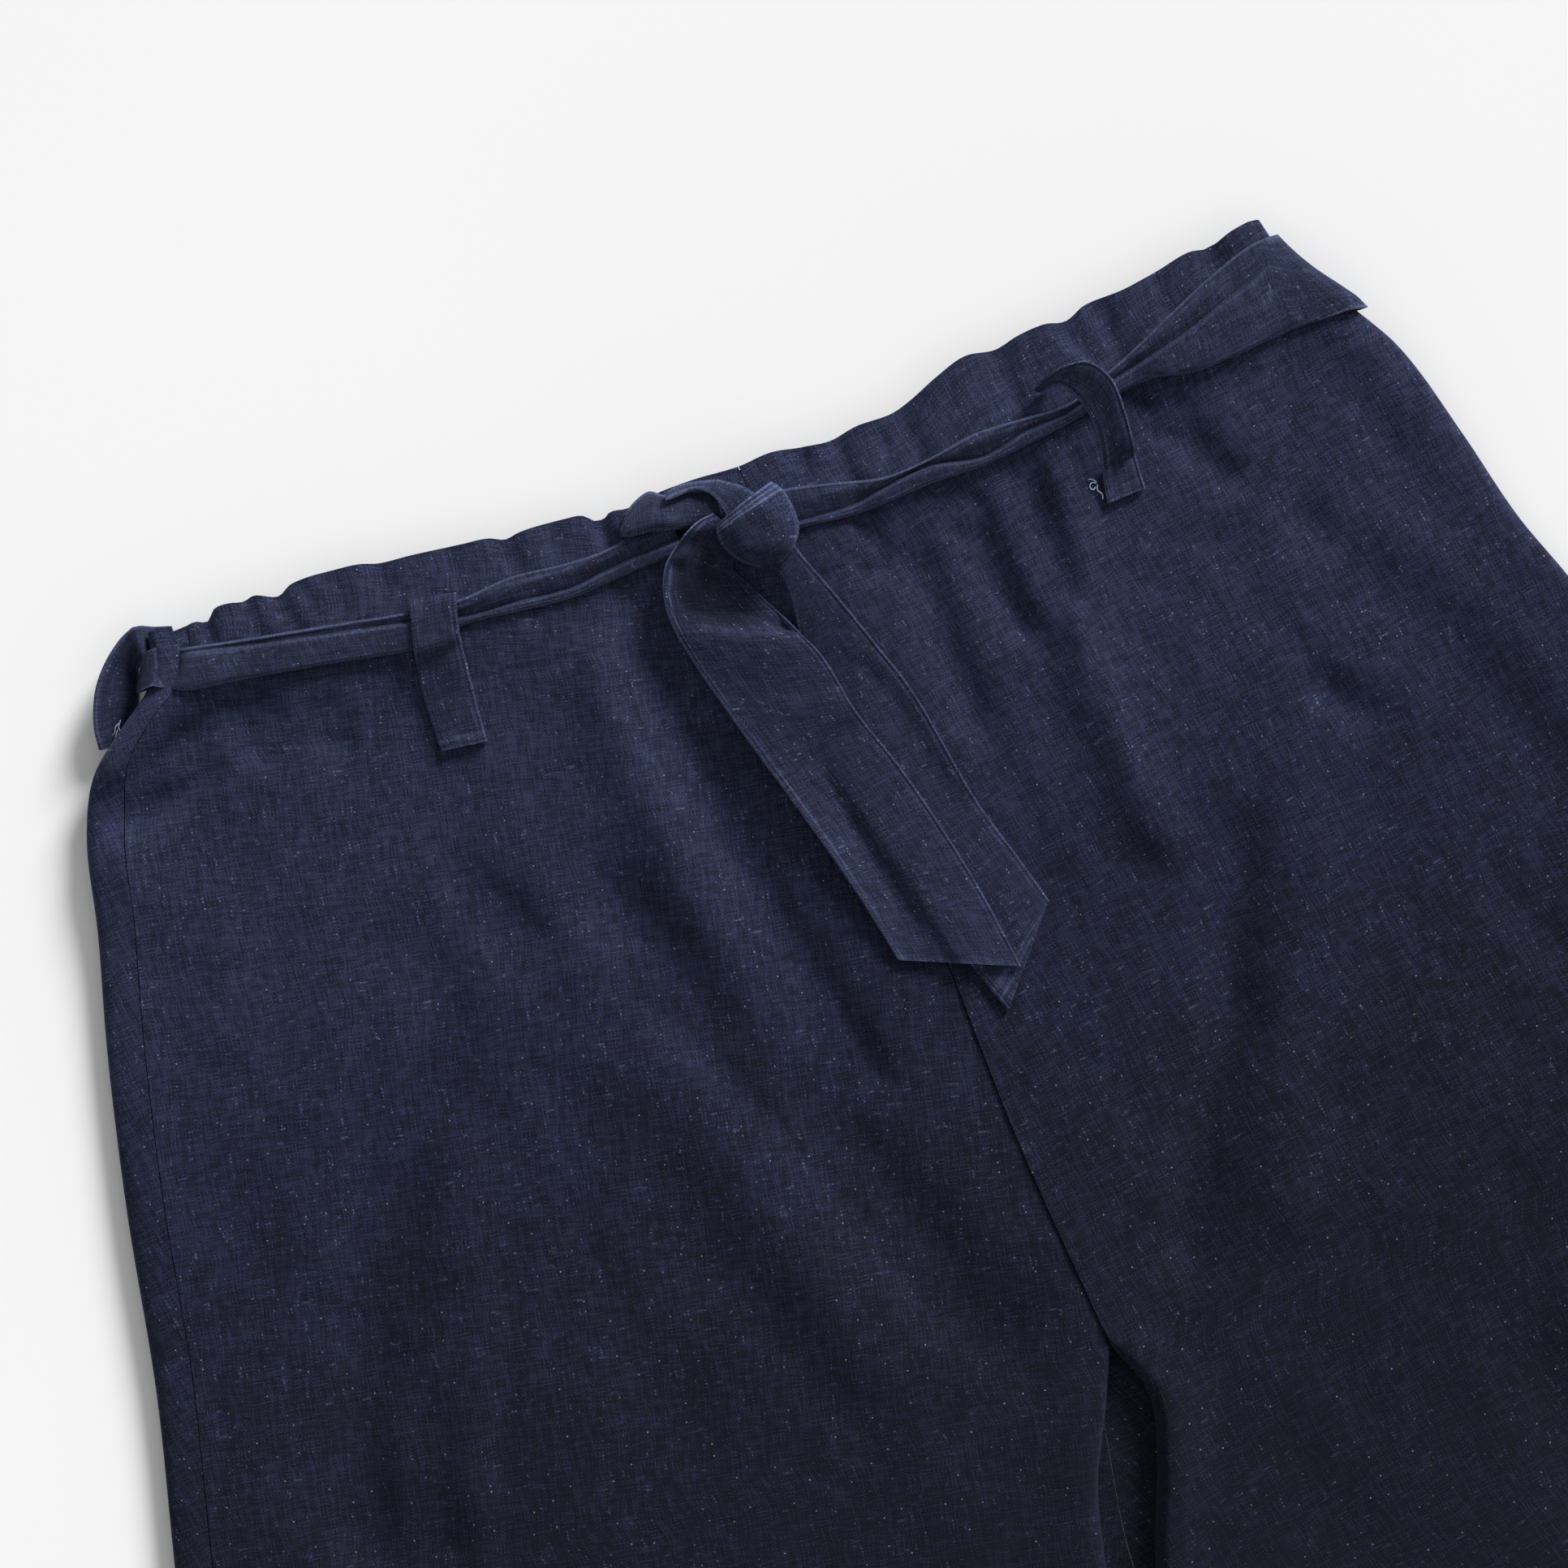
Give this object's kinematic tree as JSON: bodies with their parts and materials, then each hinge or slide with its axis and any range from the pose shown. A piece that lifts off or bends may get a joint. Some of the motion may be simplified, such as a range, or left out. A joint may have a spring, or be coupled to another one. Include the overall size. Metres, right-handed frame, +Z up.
{
  "type": "samue trousers",
  "caption": "Wide indigo samue trousers laid flat, with an elastic casing at the waist, belt loops and a knotted cloth tie belt.",
  "frame": {"origin": "middle of the laid garment's outline, on the surface that it lies on", "axes": "+Y from the hems to the waist, +Z up from the surface, +X to the picture's right"},
  "size_m": [0.816, 1.0254, 0.0309],
  "materials": {
    "indigo_cloth": "plain weave, matte",
    "belt_cloth": "plain weave, matte"
  },
  "bodies": {
    "root": {"front_left": "indigo_cloth", "front_right": "indigo_cloth", "back_left": "indigo_cloth", "back_right": "indigo_cloth", "belt_left": "belt_cloth", "belt_right": "belt_cloth", "belt_back": "belt_cloth", "knot_loop": "belt_cloth", "knot_wrap": "belt_cloth", "tail_over": "belt_cloth", "tail_under": "belt_cloth", "loop_front_left": "belt_cloth", "loop_front_right": "belt_cloth", "loop_side_left": "belt_cloth", "loop_side_right": "belt_cloth", "loop_back": "belt_cloth"}
  },
  "joints": []
}
